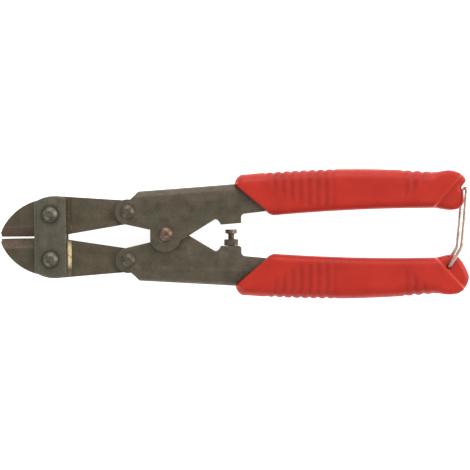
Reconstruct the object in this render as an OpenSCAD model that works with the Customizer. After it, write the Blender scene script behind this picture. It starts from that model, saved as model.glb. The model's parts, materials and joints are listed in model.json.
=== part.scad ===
// Pocket bolt cutters, 210 mm long: two compound-lever jaws held by a pair of link plates,
// two nested sheet-steel handles on a centre pivot, sleeved grips and a wire latch.
//
// Everything is drawn with the centre pivot at the origin and the middle of the tool's
// thickness at z = 0, for the upper half (+Y). The lower half is the same shape turned
// half round the X axis. place() then moves the whole tool onto its base.

/* [Jaws] */
// Distance along the tool from the jaw tips to the jaw pivots
jaw_reach = 22.6; // [17:0.1:27]
// Half height of the closed jaws at their crest
jaw_crest = 18.5; // [16.5:0.1:22.5]
// Distance of a jaw pivot from the tool's centre line
jaw_pivot_y = 10.05; // [9:0.05:12]
// Distance along the tool from the jaw pivots to the tail pivots
tail_reach = 34.6; // [30:0.1:45]
// Thickness of a jaw head
jaw_t = 6; // [5:0.1:7.5]
// Gap between the cutting edges while the latch is hooked
edge_gap = 0.8; // [0.4:0.1:1.2]
// Width of the ground bevel along a cutting edge
bevel_w = 4.3; // [3:0.1:5.5]
// Flat left on a cutting edge
edge_land = 0.3; // [0.1:0.1:0.6]
// Angle between a tail's inner edge and the centre line
tail_angle = 8.1; // [7.5:0.1:10]

/* [Link plates] */
// Thickness of a link plate
link_t = 3; // [2:0.1:4]
// Width of a link plate along the tool
link_w = 14.1; // [12:0.1:15]
// Steel between a link plate's end and the crest line of the jaws
link_inset = 0.3; // [0.1:0.1:1]

/* [Handles] */
// Distance along the tool from the tail pivots back to the centre pivot
pivot_back = 16.7; // [15:0.1:22]
// Distance of a tail pivot from the centre line
tail_pivot_y = 10.85; // [10:0.05:13]
// Sheet thickness of the handle stampings
plate_t = 1.9; // [1.5:0.1:2.4]
// Running gap between nested plates
plate_gap = 0.1; // [0.05:0.01:0.2]
// Length of the gap round the pivot sleeve, between the inner plates
sleeve_gap = 3; // [2.6:0.1:4]
// Outer radius of the bend from plate to spine
bend_r = 4; // [3:0.1:4.2]
// Start of the spine ahead of the centre pivot
spine_start = 11.9; // [9:0.1:13]
// Height of the spine above the centre line at its start
spine_h = 20.1; // [19:0.1:23]
// Slope of the spine's front part
spine_slope = 3.7; // [2:0.1:4.5]
// Distance from the centre pivot to the bend in the spine
spine_bend_x = 74; // [62:1:88]
// Slope of the spine's rear part
spine_fall = 2; // [1:0.1:3]
// Radius of the ear round a tail pivot
ear_r = 5.7; // [5:0.1:6.5]
// Radius of the boss round the centre pivot
boss_r = 7.2; // [6.5:0.1:8]
// Distance from the centre pivot to the flat on the boss
boss_flat = 6.7; // [6:0.1:6.8]
// Distance from the centre pivot to the point of the V between the handles
notch_x = 10.5; // [9.5:0.1:12]
// Angle of each side of the V
notch_angle = 31.5; // [25:0.5:36]
// Distance from the centre pivot to the middle of the stop lugs
lug_x = 29.5; // [28:0.1:35]
// Width of a stop lug
lug_w = 9.2; // [8:0.1:11]
// Distance from the centre line to the face of a stop lug
lug_y = 4.85; // [4.4:0.05:5.5]
// Distance from the centre line to the inner edge, behind the lugs
inner_y = 9.6; // [9:0.1:11]

/* [Grips] */
// Distance from the centre pivot to the end of the grips
grip_end = 136; // [112:1:165]
// Half height of the closed handles at their widest
grip_crest = 29.05; // [28:0.05:34]
// Thickness of a grip
grip_t = 16; // [15:0.5:20]
// Skin of the grip over the steel, at the flattened end that the latch wire lies on
grip_skin = 0.5; // [0.4:0.05:1]
// Distance from the centre pivot to the grip's front corner
grip_front = 31.3; // [30:0.1:38]
// Rounding of a grip's outer edges
grip_round = 5; // [3:0.5:6]
// Steel-free length at the end of a grip
grip_cap = 4.8; // [4:0.1:6]

/* [Pivots] */
// Radius of the rivet shanks
rivet_r = 2.5; // [2:0.1:3]
// Head radius of the jaw rivets
jaw_head_r = 3.6; // [3.2:0.1:4.5]
// Head height of the jaw rivets
jaw_head_h = 1.95; // [1.4:0.05:2.2]
// Head radius of the tail rivets and the centre rivet
tail_head_r = 3.2; // [3:0.1:4]
// Head height of the tail rivets and the centre rivet
tail_head_h = 1.6; // [1.2:0.1:2]
// Thickness of the washers under the closed rivet ends
washer_t = 0.6; // [0.4:0.1:0.8]
// Radial clearance of a running fit
run_fit = 0.04; // [0.02:0.01:0.08]
// Side clearance of a jaw in the parts that hold it
side_fit = 0.05; // [0.03:0.01:0.1]
// Radial clearance in the lower jaw's pivot hole, which takes up the play of the linkage
play_fit = 0.15; // [0.13:0.01:0.3]
// Wall of the pivot sleeve
sleeve_wall = 1; // [0.8:0.1:1.3]

/* [Latch, spring and stop] */
// Wire diameter of the latch
latch_d = 1.6; // [1.2:0.1:1.8]
// Wire diameter of the return spring
spring_d = 0.8; // [0.6:0.05:0.95]
// Coils of the return spring
spring_coils = 2.5; // [1.5:1:2.5]
// Shank diameter of the stop screw
screw_d = 3; // [2.5:0.1:3.6]
// Head diameter of the stop screw
screw_head_d = 5.3; // [4.8:0.1:6]
// Head height of the stop screw
screw_head_h = 1.4; // [1:0.1:1.8]
// Distance from the stop screw's head to the upper lug while the latch is hooked
stop_gap = 2.3; // [1.8:0.1:2.8]
// Size across flats of the lock nut
nut_af = 5.5; // [5:0.1:6.5]
// Thickness of the lock nut
nut_t = 2.9; // [2:0.1:3.2]

/* [Hidden] */
$fn = 48;

// Longer and wider than the tool, for cutting tools
far = 400;

// Plate levels. The handles nest: on the front the upper handle's plate is outermost,
// on the rear the lower handle's plate is.
gap_z = sleeve_gap / 2;
inner_top = gap_z + plate_t;
outer_low = inner_top + plate_gap;
outer_top = outer_low + plate_t;
tail_low = -gap_z + side_fit;
tail_top = outer_low - side_fit;

// Grip ends and the latch wire that lies on them
grip_end_z = outer_top + grip_skin;
latch_gap = 0.15;
latch_z = grip_end_z + latch_gap + latch_d / 2;

// Jaw stack
head_z = jaw_t / 2;
link_low = head_z + side_fit;
link_top = link_low + link_t;

// Pivots of the upper half
tail_pivot = [-pivot_back, tail_pivot_y];
jaw_pivot = [-pivot_back - tail_reach, jaw_pivot_y];
tip_x = jaw_pivot[0] - jaw_reach;

// The tool lies on whatever stands out furthest at the back
base_z = max(grip_t / 2, link_top + jaw_head_h, latch_z + latch_d / 2);
mid_x = (tip_x + grip_end) / 2;

steel = [0.36, 0.33, 0.27];
ground_steel = [0.50, 0.44, 0.36];
bright_steel = [0.72, 0.70, 0.66];
copper_steel = [0.55, 0.40, 0.30];
red = [0.78, 0.19, 0.16];

// Moves the tool so that its box stands on z = 0, centred on the Z axis.
module place() translate([-mid_x, 0, base_z]) children();

// Turns a piece of the upper half into the same piece of the lower half.
module lower() rotate([180, 0, 0]) children();

// Points of an arc about c, from angle a0 to angle a1.
function arc(c, r, a0, a1, n = 8) =
  [for (i = [0:n]) let (a = a0 + (a1 - a0) * i / n) [c[0] + r * cos(a), c[1] + r * sin(a)]];

// A point at distance t from p, at angle a.
function step(p, a, t) = [p[0] + t * cos(a), p[1] + t * sin(a)];

// A hole through everything at p.
module bore(p, r) translate([p[0], p[1], -far / 2]) cylinder(far, r = r);

// A long bar that fills the space below a line through p at angle a, between z = lo and
// z = hi. The two long edges on the line are rounded to r.
module rail(p, a, lo, hi, r) {
  translate([p[0], p[1], 0]) rotate([0, 0, a]) rotate([90, 0, 90])
    linear_extrude(2 * far, center = true)
      polygon(concat([[-far, lo]], arc([-r, lo + r], r, -90, 0), arc([-r, hi - r], r, 0, 90),
                     [[-far, hi]]));
}

// ---------------------------------------------------------------- jaws and link plates

// The jaw head's outline is a long arc from the tip and a tight arc over the crest.
crest_r = 16;
crest_c = [jaw_pivot[0] + 1.6, jaw_crest - crest_r];
tip_h = 2.2;
tip_p = [tip_x, tip_h];
join_angle = 118;
crest_end_angle = 82;
join_p = step(crest_c, join_angle, crest_r);
// Bulge of the long arc beyond its chord
tip_bulge = 2.6;

// Points of an arc from a to b that bulges by h to the left of a -> b.
function bulge(a, b, h, n) =
  let (d = b - a, l = norm(d), m = (a + b) / 2, nrm = [-d[1], d[0]] / l,
       r = (l * l / 4 + h * h) / (2 * h), c = m - nrm * (r - h),
       a0 = atan2(a[1] - c[1], a[0] - c[0]), half = asin(l / 2 / r))
  arc(c, r, a0, a0 - 2 * half, n);

// Inner edges: the cutting edge runs level, the tail's edge slopes away behind the pivot.
edge_y = edge_gap / 2;
function tail_inner(x) = max(edge_y, (x - jaw_pivot[0]) * tan(tail_angle) + 0.05);
inner_turn_x = jaw_pivot[0] + (edge_y - 0.05) / tan(tail_angle);
tail_r = 5.2;

function jaw_outline() = concat(
  [[tip_x + 0.25, edge_y]],
  bulge(tip_p, join_p, tip_bulge, 10),
  arc(crest_c, crest_r, join_angle, crest_end_angle, 6),
  arc(tail_pivot, tail_r, crest_end_angle, -90 + tail_angle, 14),
  [[inner_turn_x, edge_y]]
);

// Side view of a jaw: the head is centred, the tail is offset into its handle, and a ground
// shoulder joins them behind the link plates.
shoulder_x = jaw_pivot[0] + link_w / 2 + 0.45;
step_x = jaw_pivot[0] + link_w / 2 + 1.85;
module jaw_side_view() {
  rotate([90, 0, 0]) linear_extrude(far, center = true)
    polygon([
      [-far, head_z], [step_x, head_z], [step_x + 0.5, tail_top], [far, tail_top],
      [far, tail_low], [shoulder_x + head_z + tail_low, tail_low], [shoulder_x, -head_z],
      [-far, -head_z]
    ]);
}

// The wedge of air on one side of a cutting edge.
bevel_end_x = jaw_pivot[0] - link_w / 2 + 1.5;
module bevel_air() {
  translate([bevel_end_x - far, 0, 0]) rotate([90, 0, 90]) linear_extrude(far)
    polygon([
      [edge_y - 1, edge_land / 2], [edge_y, edge_land / 2], [edge_y + bevel_w, head_z],
      [edge_y + bevel_w, head_z + 1], [edge_y - 1, head_z + 1]
    ]);
}

module jaw(hole_r) {
  difference() {
    intersection() {
      linear_extrude(far, center = true) polygon(jaw_outline());
      jaw_side_view();
    }
    bevel_air();
    mirror([0, 0, 1]) bevel_air();
    bore(jaw_pivot, hole_r);
    bore(tail_pivot, rivet_r + run_fit);
  }
}

module upper_jaw() color(ground_steel) place() jaw(rivet_r + run_fit);
module lower_jaw() color(ground_steel) place() lower() jaw(rivet_r + play_fit);

// Half outline of a link plate, which follows the crest of the jaws.
function link_half(side) =
  let (r = crest_r - link_inset, x0 = jaw_pivot[0] - link_w / 2, x1 = jaw_pivot[0] + link_w / 2,
       a0 = acos((x0 - crest_c[0]) / r), a1 = acos((x1 - crest_c[0]) / r))
  [for (p = arc(crest_c, r, side > 0 ? a0 : a1, side > 0 ? a1 : a0, 8)) [p[0], side * p[1]]];

module link_plate() {
  difference() {
    linear_extrude(link_t) polygon(concat(link_half(1), link_half(-1)));
    for (s = [-1, 1])
      translate([jaw_pivot[0], s * jaw_pivot[1], -1]) cylinder(link_t + 2, r = rivet_r);
  }
}

module front_link_plate() color(steel) place() translate([0, 0, link_low]) link_plate();
module rear_link_plate() color(steel) place() translate([0, 0, -link_top]) link_plate();

// ---------------------------------------------------------------- rivets and washers

dimple_r = 0.9;
// A domed head that stands on z = 0, with a small dimple from the setting tool.
module dome(r, h) {
  ball = (r * r + h * h) / (2 * h);
  difference() {
    intersection() {
      translate([0, 0, h - ball]) sphere(ball);
      cylinder(h, r = r);
    }
    translate([0, 0, h + dimple_r * 0.6]) sphere(dimple_r);
  }
}

// A rivet through plates between z = low and z = high, with its closed end on a washer.
module rivet(at, low, high, head_r, head_h) {
  translate([at[0], at[1], 0]) {
    translate([0, 0, high]) dome(head_r, head_h);
    translate([0, 0, low - washer_t - 0.1]) cylinder(high - low + washer_t + 0.2, r = rivet_r);
    translate([0, 0, low - washer_t]) mirror([0, 0, 1]) dome(head_r - 0.3, head_h - washer_t);
  }
}

module washer(at, top, r) {
  translate([at[0], at[1], top - washer_t]) difference() {
    cylinder(washer_t, r = r);
    translate([0, 0, -1]) cylinder(washer_t + 2, r = rivet_r);
  }
}

// Lower-half places are in the lower half's own turned frame, where z runs the other way,
// so lower rivets are placed directly to keep every head on the front.
jaw_pivot_low = [jaw_pivot[0], -jaw_pivot[1]];
tail_pivot_low = [tail_pivot[0], -tail_pivot[1]];

module upper_jaw_rivet() color(bright_steel) place()
  rivet(jaw_pivot, -link_top, link_top, jaw_head_r, jaw_head_h);
module lower_jaw_rivet() color(bright_steel) place()
  rivet(jaw_pivot_low, -link_top, link_top, jaw_head_r, jaw_head_h);
module upper_jaw_washer() color(steel) place() washer(jaw_pivot, -link_top, jaw_head_r + 0.2);
module lower_jaw_washer() color(steel) place() washer(jaw_pivot_low, -link_top, jaw_head_r + 0.2);

module upper_tail_rivet() color(bright_steel) place()
  rivet(tail_pivot, -inner_top, outer_top, tail_head_r, tail_head_h);
module upper_tail_washer() color(steel) place() washer(tail_pivot, -inner_top, tail_head_r + 0.2);
module lower_tail_rivet() color(bright_steel) place()
  rivet(tail_pivot_low, -outer_top, inner_top, tail_head_r, tail_head_h);
module lower_tail_washer() color(steel) place()
  washer(tail_pivot_low, -outer_top, tail_head_r + 0.2);

module centre_pivot_rivet() color(copper_steel) place()
  rivet([0, 0], -outer_top - side_fit, outer_top, tail_head_r, tail_head_h);
module centre_pivot_washer() color(steel) place()
  washer([0, 0], -outer_top - side_fit, tail_head_r + 0.4);

module pivot_sleeve() color(bright_steel) place()
  translate([0, 0, -gap_z + side_fit]) difference() {
    cylinder(sleeve_gap - 2 * side_fit, r = rivet_r + sleeve_wall);
    translate([0, 0, -1]) cylinder(sleeve_gap + 2, r = rivet_r);
  }

// ---------------------------------------------------------------- handle stampings

spine_p = [-spine_start, spine_h];
bend_p = [spine_bend_x, spine_h + (spine_bend_x + spine_start) * tan(spine_slope)];
steel_end = grip_end - grip_cap;

// Hole for the latch wire near the end, in the upper half's frame
latch_hole = [grip_end - 9.3, 15.2];
latch_fit = 0.06;

lug_left = lug_x - lug_w / 2;
lug_right = lug_x + lug_w / 2;
notch_top = [notch_x + 11.7, 11.7 * tan(notch_angle)];
waist_x = grip_front + 11.5;
steel_waist = [grip_end - 15, 13.6];
// Where the side of the V runs into the boss
notch_run = notch_x * cos(notch_angle) - sqrt(pow(boss_r, 2) - pow(notch_x * sin(notch_angle), 2));
notch_in = step([notch_x, 0], 180 + notch_angle, notch_run);
notch_in_angle = atan2(notch_in[1], notch_in[0]);
flat_angle = 180 - acos(boss_flat / boss_r);
// Slope of the cut from the ear up to the spine
front_angle = 48;
// The bend's inner fillets stop short of the ear by ear_relief_x, so that the jaw's tail
// swings clear of them. The relief is cut into the plates by ear_relief_z.
ear_relief_x = 3.4;
ear_relief_y = 4;
ear_relief_z = 0.03;

function handle_outline() = concat(
  arc(tail_pivot, ear_r, -98, -282, 14),
  [step(spine_p, front_angle - 180, 2.8), step(spine_p, front_angle, 8)],
  [[steel_end, spine_h + 20]],
  arc([steel_end - 3, steel_waist[1] + 2.6], 3, 0, -80, 4),
  [steel_waist, [waist_x + 4, inner_y + 1.2], [waist_x, inner_y + 0.7]],
  arc([lug_right + 1.8, inner_y - 1.8], 1.8, 90, 170, 5),
  [[lug_right, lug_y + 0.5], [lug_left, lug_y - 0.1], [lug_left - 0.9, lug_y + 1.5]],
  [[notch_top[0] + 0.9, notch_top[1] - 0.15], notch_top, [notch_x, 0]],
  arc([0, 0], boss_r, notch_in_angle, -flat_angle, 16),
  [[-boss_flat, 2.75]]
);

// The outline runs past the spine, because channel_block sets the spine's height.
// The folded channel's outer skin, set in from the sheet's outer face by t.
module channel_block(t) {
  intersection() {
    rail(step(spine_p, spine_slope - 90, t), spine_slope, -inner_top + t, outer_top - t, bend_r - t);
    rail(step(bend_p, -spine_fall - 90, t), -spine_fall, -inner_top + t, outer_top - t, bend_r - t);
  }
}

module handle() {
  difference() {
    intersection() {
      linear_extrude(far, center = true) polygon(handle_outline());
      channel_block(0);
    }
    channel_block(plate_t);
    translate([-spine_start - ear_relief_x - far, tail_pivot_y + ear_relief_y, -gap_z - ear_relief_z])
      cube([far, far, outer_low + gap_z + 2 * ear_relief_z]);
    bore([0, 0], rivet_r + run_fit);
    bore(tail_pivot, rivet_r);
    bore(latch_hole, latch_d / 2 + latch_fit);
  }
}

module upper_handle() color(steel) place() handle();
module lower_handle() color(steel) place() lower() handle();

// ---------------------------------------------------------------- grips

// The bowed part of each edge runs from the nose to the start of the end lobe. Both bows are
// parabolas: bow() is 1 at its crest and 0 at the far end of the bowed part.
grip_back = grip_end - 14;
crown_x = grip_front + 0.46 * (grip_end - grip_front);
waist_crest_x = grip_end - 23;
function bow(x, crest, end) = 1 - pow((x - crest) / (end - crest), 2);
function crown(x) = grip_crest + 0.15 - 1.9 * (1 - bow(x, crown_x, grip_back));
function waist(x) = 11.25 - 2.6 * (1 - bow(x, waist_crest_x, heel_p[0]));

nose_p = [grip_front, bend_p[1] - (spine_bend_x - grip_front) * tan(spine_slope) - 0.3];
heel_p = [grip_front + 17.5, 8.6];

crown_pts = [for (i = [0:10]) let (x = grip_front + 4.7 + (grip_back - grip_front - 4.7) * i / 10)
  [x, crown(x)]];
waist_pts = [for (i = [0:8]) let (x = grip_back - (grip_back - heel_p[0]) * i / 8) [x, waist(x)]];

function grip_outline(end_pts) = concat(
  [nose_p, [grip_front + 0.6, nose_p[1] + 1.8], [grip_front + 1.5, crown(grip_front) - 0.5]],
  [[grip_front + 2.8, crown(grip_front) + 0.2]],
  crown_pts,
  end_pts,
  waist_pts,
  [heel_p, [heel_p[0] - 2.6, heel_p[1] + 1.1]]
);

// The latch wire's cross-bar sits in a notch in the end of the upper grip. The land below the
// notch is an arc about the centre pivot, just inside the path of the cross-bar.
bar_p = [grip_end - 1.7, 19.7];
bar_r = norm(bar_p);
land_r = bar_r - latch_d / 2 - 0.08;
function on_land(y) = [sqrt(land_r * land_r - y * y), y];

notched_end = concat(
  [[grip_end - 9.7, 27.85], [grip_end - 7.4, 27.6], [grip_end - 5.2, 27.1]],
  [[grip_end - 2.9, 25.9], [grip_end - 1.5, 24.6], [grip_end - 1, 23.4], [grip_end - 1.4, 22.3]],
  [[grip_end - 3, 19.7]],
  [for (y = [18.8, 17, 15, 13.2]) on_land(y)],
  [[grip_end - 2.7, 11.6], [grip_end - 4.8, 10.5], [grip_end - 8, 10.2]]
);
rounded_end = concat(
  [[grip_end - 9.7, 27.85], [grip_end - 7.4, 27.75], [grip_end - 5.2, 27.4]],
  arc([grip_end - 6.4, 20.4], 6.4, 55, -38, 8),
  [[grip_end - 2.9, 13.1], [grip_end - 5.2, 10.4], [grip_end - 8, 9.9]]
);

// Space above a sloping crease line through p, where the grip's end is flattened.
module flat_end_air(p, a) {
  for (s = [0, 1]) mirror([0, 0, s])
    translate([p[0], p[1], grip_end_z]) rotate([0, 0, a])
      translate([-far / 2, -far, 0]) cube([far, far, far]);
}

module grip(end_pts, crease_x, crease_a) {
  difference() {
    intersection() {
      linear_extrude(grip_t, center = true) polygon(grip_outline(end_pts));
      rail([crown_x, grip_crest], 2.6, -grip_t / 2, grip_t / 2, grip_round);
      rail([crown_x, grip_crest], -1.2, -grip_t / 2, grip_t / 2, grip_round);
      rail([heel_p[0], heel_p[1] - 0.2], 180 + 2, -grip_t / 2, grip_t / 2, grip_round - 1.5);
    }
    // Pocket for the steel
    intersection() {
      linear_extrude(far, center = true) polygon(handle_outline());
      channel_block(0);
    }
    flat_end_air([crease_x, 16.6], crease_a);
  }
}

module upper_grip() color(red) place() grip(notched_end, grip_end - 11.2, 49);

module lower_grip() color(red) place() lower() difference() {
  grip(rounded_end, grip_end - 9.5, 47.6);
  bore(latch_hole, latch_d / 2 + latch_fit);
}

// ---------------------------------------------------------------- stop screw

block_w = lug_w - 1.4;
block_h = 8;
// Mid-plane of the lower handle's channel
lower_mid_z = -(outer_top - inner_top) / 2;

module stop_block() color(steel) place() lower()
  translate([lug_x - block_w / 2, lug_y, -gap_z]) difference() {
    cube([block_w, block_h, outer_low + gap_z]);
    translate([block_w / 2, -1, gap_z - lower_mid_z]) rotate([-90, 0, 0])
      cylinder(block_h + 2, r = screw_d / 2 + run_fit);
  }

nut_top = -lug_y + 0.1 + nut_t;
module stop_lock_nut() color(bright_steel) place()
  translate([lug_x, nut_top - nut_t, lower_mid_z]) rotate([-90, 0, 0]) difference() {
    rotate(30) cylinder(nut_t, r = nut_af / 2 / cos(30), $fn = 6);
    translate([0, 0, -1]) cylinder(nut_t + 2, r = screw_d / 2 + run_fit);
  }

head_top = lug_y - stop_gap;
screw_l = 13.5;
neck_h = 0.9;
module stop_screw() color(bright_steel) place()
  translate([lug_x, head_top, lower_mid_z]) rotate([90, 0, 0]) difference() {
    union() {
      cylinder(screw_head_h - neck_h / 2, d = screw_head_d);
      translate([0, 0, screw_head_h - neck_h / 2])
        cylinder(neck_h, d1 = screw_head_d, d2 = screw_d);
      cylinder(screw_l, d = screw_d);
    }
    // Screwdriver slot
    translate([-screw_head_d / 2 - 1, -0.4, -1]) cube([screw_head_d + 2, 0.8, 1.6]);
  }

// ---------------------------------------------------------------- return spring

spring_r = rivet_r + sleeve_wall + spring_d / 2 + 0.15;
spring_pitch = (sleeve_gap - spring_d - 0.12) / spring_coils;
leg_x = lug_x + 0.5;
// The legs push on the insides of the spines.
leg_y = spine_h + (leg_x + spine_start) * tan(spine_slope) - plate_t - spring_d * 0.6 - 0.25;
leg_l = norm([leg_x, leg_y]);
leg_angle = atan2(leg_y, leg_x);
// Angle at which a leg leaves the coil tangentially
leave_angle = leg_angle + acos(spring_r / leg_l);
coil_sweep = 360 * (spring_coils + 0.5) - 2 * leave_angle;
coil_steps = 20 * (spring_coils + 0.5);

function coil_point(a, z) = [spring_r * cos(a), spring_r * sin(a), z];
spring_path = concat(
  [[leg_x, leg_y, spring_pitch * spring_coils / 2]],
  [for (i = [0:coil_steps]) let (f = i / coil_steps)
    coil_point(leave_angle + f * coil_sweep, spring_pitch * spring_coils * (0.5 - f))],
  [[leg_x, -leg_y, -spring_pitch * spring_coils / 2]]
);

function unit(v) = v / norm(v);

// Carries a direction square to the path along it, so that the rings don't twist.
function carry(dirs, side, i = 0) =
  let (s = unit(side - (side * dirs[i]) * dirs[i]))
  i == len(dirs) - 1 ? [s] : concat([s], carry(dirs, s, i + 1));

// A round wire of radius r along a path. first_side is any direction square to its start.
module sweep(path, r, sides, first_side) {
  n = len(path);
  dirs = [for (i = [0:n - 1]) unit(path[min(i + 1, n - 1)] - path[max(i - 1, 0)])];
  side = carry(dirs, first_side);
  pts = [for (i = [0:n - 1], k = [0:sides - 1]) let (a = -360 * k / sides)
    path[i] + r * (cos(a) * side[i] + sin(a) * cross(dirs[i], side[i]))];
  walls = [for (i = [0:n - 2], k = [0:sides - 1]) let (j = (k + 1) % sides)
    [i * sides + k, i * sides + j, (i + 1) * sides + j, (i + 1) * sides + k]];
  first = [for (k = [sides - 1:-1:0]) k];
  last = [for (k = [0:sides - 1]) (n - 1) * sides + k];
  polyhedron(pts, concat([first], walls, [last]));
}

module return_spring() color(bright_steel) place() sweep(spring_path, spring_d / 2, 8, [0, 0, 1]);

// ---------------------------------------------------------------- latch wire

// The wire's ends turn in and stop short of the middle. They are drawn down a little to turn
// freely in the hole.
latch_pin_z = 1;
latch_pin_r = latch_d / 2 - 0.05;
// Bend radii of the wire: just over the hole, and at the ends of the cross-bar
pin_elbow = latch_d / 2 + 0.1;
bar_elbow = 1.5;
pin_overlap = 0.8;
hole_low = [latch_hole[0], -latch_hole[1]];
leg_bends = [[grip_end - 3.7, -6.7], [grip_end - 2.7, 5.1]];

function at_z(p, z) = [p[0], p[1], z];

// Points round a corner at b, on the way from a to c, at radius r.
function elbow(a, b, c, r, n = 5) =
  let (u = unit(a - b), v = unit(c - b), m = unit(u + v), half = acos(u * v) / 2,
       o = b + m * r / sin(half), x = -m, y = unit(u - (u * m) * m), turn = 90 - half)
  [for (i = [0:n]) let (t = turn - 2 * turn * i / n) o + r * (x * cos(t) + y * sin(t))];

// Half of the bail, from the pin in the hole to the middle of the cross-bar.
function half_bail(s) = concat(
  [at_z(hole_low, s * (latch_z - pin_elbow - pin_overlap))],
  elbow(at_z(hole_low, 0), at_z(hole_low, s * latch_z), at_z(leg_bends[0], s * latch_z), pin_elbow),
  [for (p = leg_bends) at_z(p, s * latch_z)],
  elbow(at_z(leg_bends[1], s * latch_z), at_z(bar_p, s * latch_z), at_z(bar_p, 0), bar_elbow)
);
bail_back = half_bail(-1);
bail_path = concat(half_bail(1), [for (i = [len(bail_back) - 1:-1:0]) bail_back[i]]);

module latch_wire() color(bright_steel) place() {
  sweep(bail_path, latch_d / 2, 12, [1, 0, 0]);
  for (s = [0, 1]) mirror([0, 0, s])
    translate(at_z(hole_low, latch_pin_z)) cylinder(latch_z - pin_elbow - latch_pin_z, r = latch_pin_r);
}

front_link_plate();
rear_link_plate();
upper_jaw_rivet();
lower_jaw_rivet();
upper_jaw_washer();
lower_jaw_washer();
upper_jaw();
lower_jaw();
upper_handle();
upper_grip();
upper_tail_rivet();
upper_tail_washer();
centre_pivot_rivet();
centre_pivot_washer();
pivot_sleeve();
lower_handle();
lower_grip();
lower_tail_rivet();
lower_tail_washer();
stop_block();
stop_lock_nut();
stop_screw();
return_spring();
latch_wire();
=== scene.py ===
"""Pocket bolt cutters: the looks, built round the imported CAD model.

Meshes are made in millimetres in the row frame and scaled to metres when they become objects.
Grips are laid out in a "half frame": x along the tool, y outwards from its centre line and z up
from its mid-plane. The lower grip is laid out the same way and then turned half round X.
"""

import json
import math

import bmesh
import bpy
import numpy as np
from mathutils import Matrix, Vector, geometry, noise


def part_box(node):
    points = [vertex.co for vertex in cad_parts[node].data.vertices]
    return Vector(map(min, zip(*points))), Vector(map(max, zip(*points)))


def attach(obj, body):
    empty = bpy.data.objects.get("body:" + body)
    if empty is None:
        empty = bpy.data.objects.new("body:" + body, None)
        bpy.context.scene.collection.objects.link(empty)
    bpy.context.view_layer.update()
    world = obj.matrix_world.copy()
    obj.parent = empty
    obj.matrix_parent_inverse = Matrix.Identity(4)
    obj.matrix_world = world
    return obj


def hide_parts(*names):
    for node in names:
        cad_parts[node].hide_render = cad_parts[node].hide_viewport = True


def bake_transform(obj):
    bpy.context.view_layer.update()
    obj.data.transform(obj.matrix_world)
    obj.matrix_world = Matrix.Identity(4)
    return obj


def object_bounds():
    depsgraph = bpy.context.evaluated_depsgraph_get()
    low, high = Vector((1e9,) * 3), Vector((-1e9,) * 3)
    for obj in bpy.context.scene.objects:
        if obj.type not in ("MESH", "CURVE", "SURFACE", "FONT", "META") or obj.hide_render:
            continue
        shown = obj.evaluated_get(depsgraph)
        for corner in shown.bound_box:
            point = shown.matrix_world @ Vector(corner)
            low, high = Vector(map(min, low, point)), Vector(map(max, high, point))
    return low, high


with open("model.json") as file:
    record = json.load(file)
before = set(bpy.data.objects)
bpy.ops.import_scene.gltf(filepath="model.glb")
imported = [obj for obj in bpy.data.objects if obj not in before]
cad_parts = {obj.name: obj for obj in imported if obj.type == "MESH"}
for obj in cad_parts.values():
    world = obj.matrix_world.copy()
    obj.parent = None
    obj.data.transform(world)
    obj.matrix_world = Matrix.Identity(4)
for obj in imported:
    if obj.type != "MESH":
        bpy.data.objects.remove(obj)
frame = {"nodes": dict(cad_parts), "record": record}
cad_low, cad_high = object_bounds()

MM = 0.001
MID_Z = (cad_low.z + cad_high.z) / 2 / MM


def box_mm(node):
    """Lowest and highest corner of a CAD node, in millimetres."""
    low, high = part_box(node)
    return [c / MM for c in low], [c / MM for c in high]


def middle_mm(node):
    """The middle of a CAD node's box, in millimetres."""
    low, high = box_mm(node)
    return [(a + b) / 2 for a, b in zip(low, high)]


def new_object(name, data):
    """A new object in the scene."""
    made = bpy.data.objects.new(name, data)
    bpy.context.scene.collection.objects.link(made)
    return made


def mesh_object(name, bm):
    """A new object made of bm, which is in millimetres and is used up."""
    bmesh.ops.scale(bm, vec=(MM, MM, MM), verts=bm.verts)
    mesh = bpy.data.meshes.new(name)
    bm.to_mesh(mesh)
    bm.free()
    return new_object(name, mesh)


# -------- camera and lights

# Metres: how high the camera stands over the mid-plane, how much it sees there, and where it is
VIEW_DISTANCE = 0.70
VIEW_WIDTH = 0.2116
VIEW_X = 0.0002
VIEW_ROLL = math.radians(0.67)
SENSOR = 36

# Square soft lights: place and side in metres, power in watts, colour
LIGHTS = {
    "from_right": ((0.80, 0.20, 0.55), 0.60, 7, (1, 0.97, 0.93)),
    "from_low_left": ((-0.55, -0.60, 0.50), 0.60, 2.4, (0.96, 0.98, 1)),
    "from_top": ((-0.05, 0.90, 0.60), 0.80, 6.5, (1, 1, 1)),
}
SURROUND_GLOW = 0.55


def make_camera():
    data = bpy.data.cameras.new("camera")
    data.sensor_width = SENSOR
    data.lens = SENSOR * VIEW_DISTANCE / VIEW_WIDTH
    camera = new_object("camera", data)
    camera.location = (VIEW_X, 0, MID_Z * MM + VIEW_DISTANCE)
    camera.rotation_euler = (0, 0, -VIEW_ROLL)
    bpy.context.scene.camera = camera


def make_light(name, place, size, power, colour):
    """A square soft light that faces the tool."""
    data = bpy.data.lights.new(name, "AREA")
    data.shape = "SQUARE"
    data.size = size
    data.energy = power
    data.color = colour
    light = new_object(name, data)
    light.location = place
    light.rotation_mode = "QUATERNION"
    light.rotation_quaternion = (-Vector(place)).to_track_quat("-Z", "Y")


def make_surround():
    """An even white surround, and colours shown as they are."""
    world = bpy.data.worlds.new("surround")
    world.use_nodes = True
    background = world.node_tree.nodes["Background"]
    background.inputs["Color"].default_value = (1, 1, 1, 1)
    background.inputs["Strength"].default_value = SURROUND_GLOW
    scene = bpy.context.scene
    scene.world = world
    scene.view_settings.view_transform = "Standard"


# -------- colours

def srgb(red, green, blue):
    """A linear colour from 8-bit sRGB numbers."""
    def linear(c):
        c /= 255
        return c / 12.92 if c <= 0.04045 else ((c + 0.055) / 1.055) ** 2.4
    return (linear(red), linear(green), linear(blue), 1)


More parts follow.
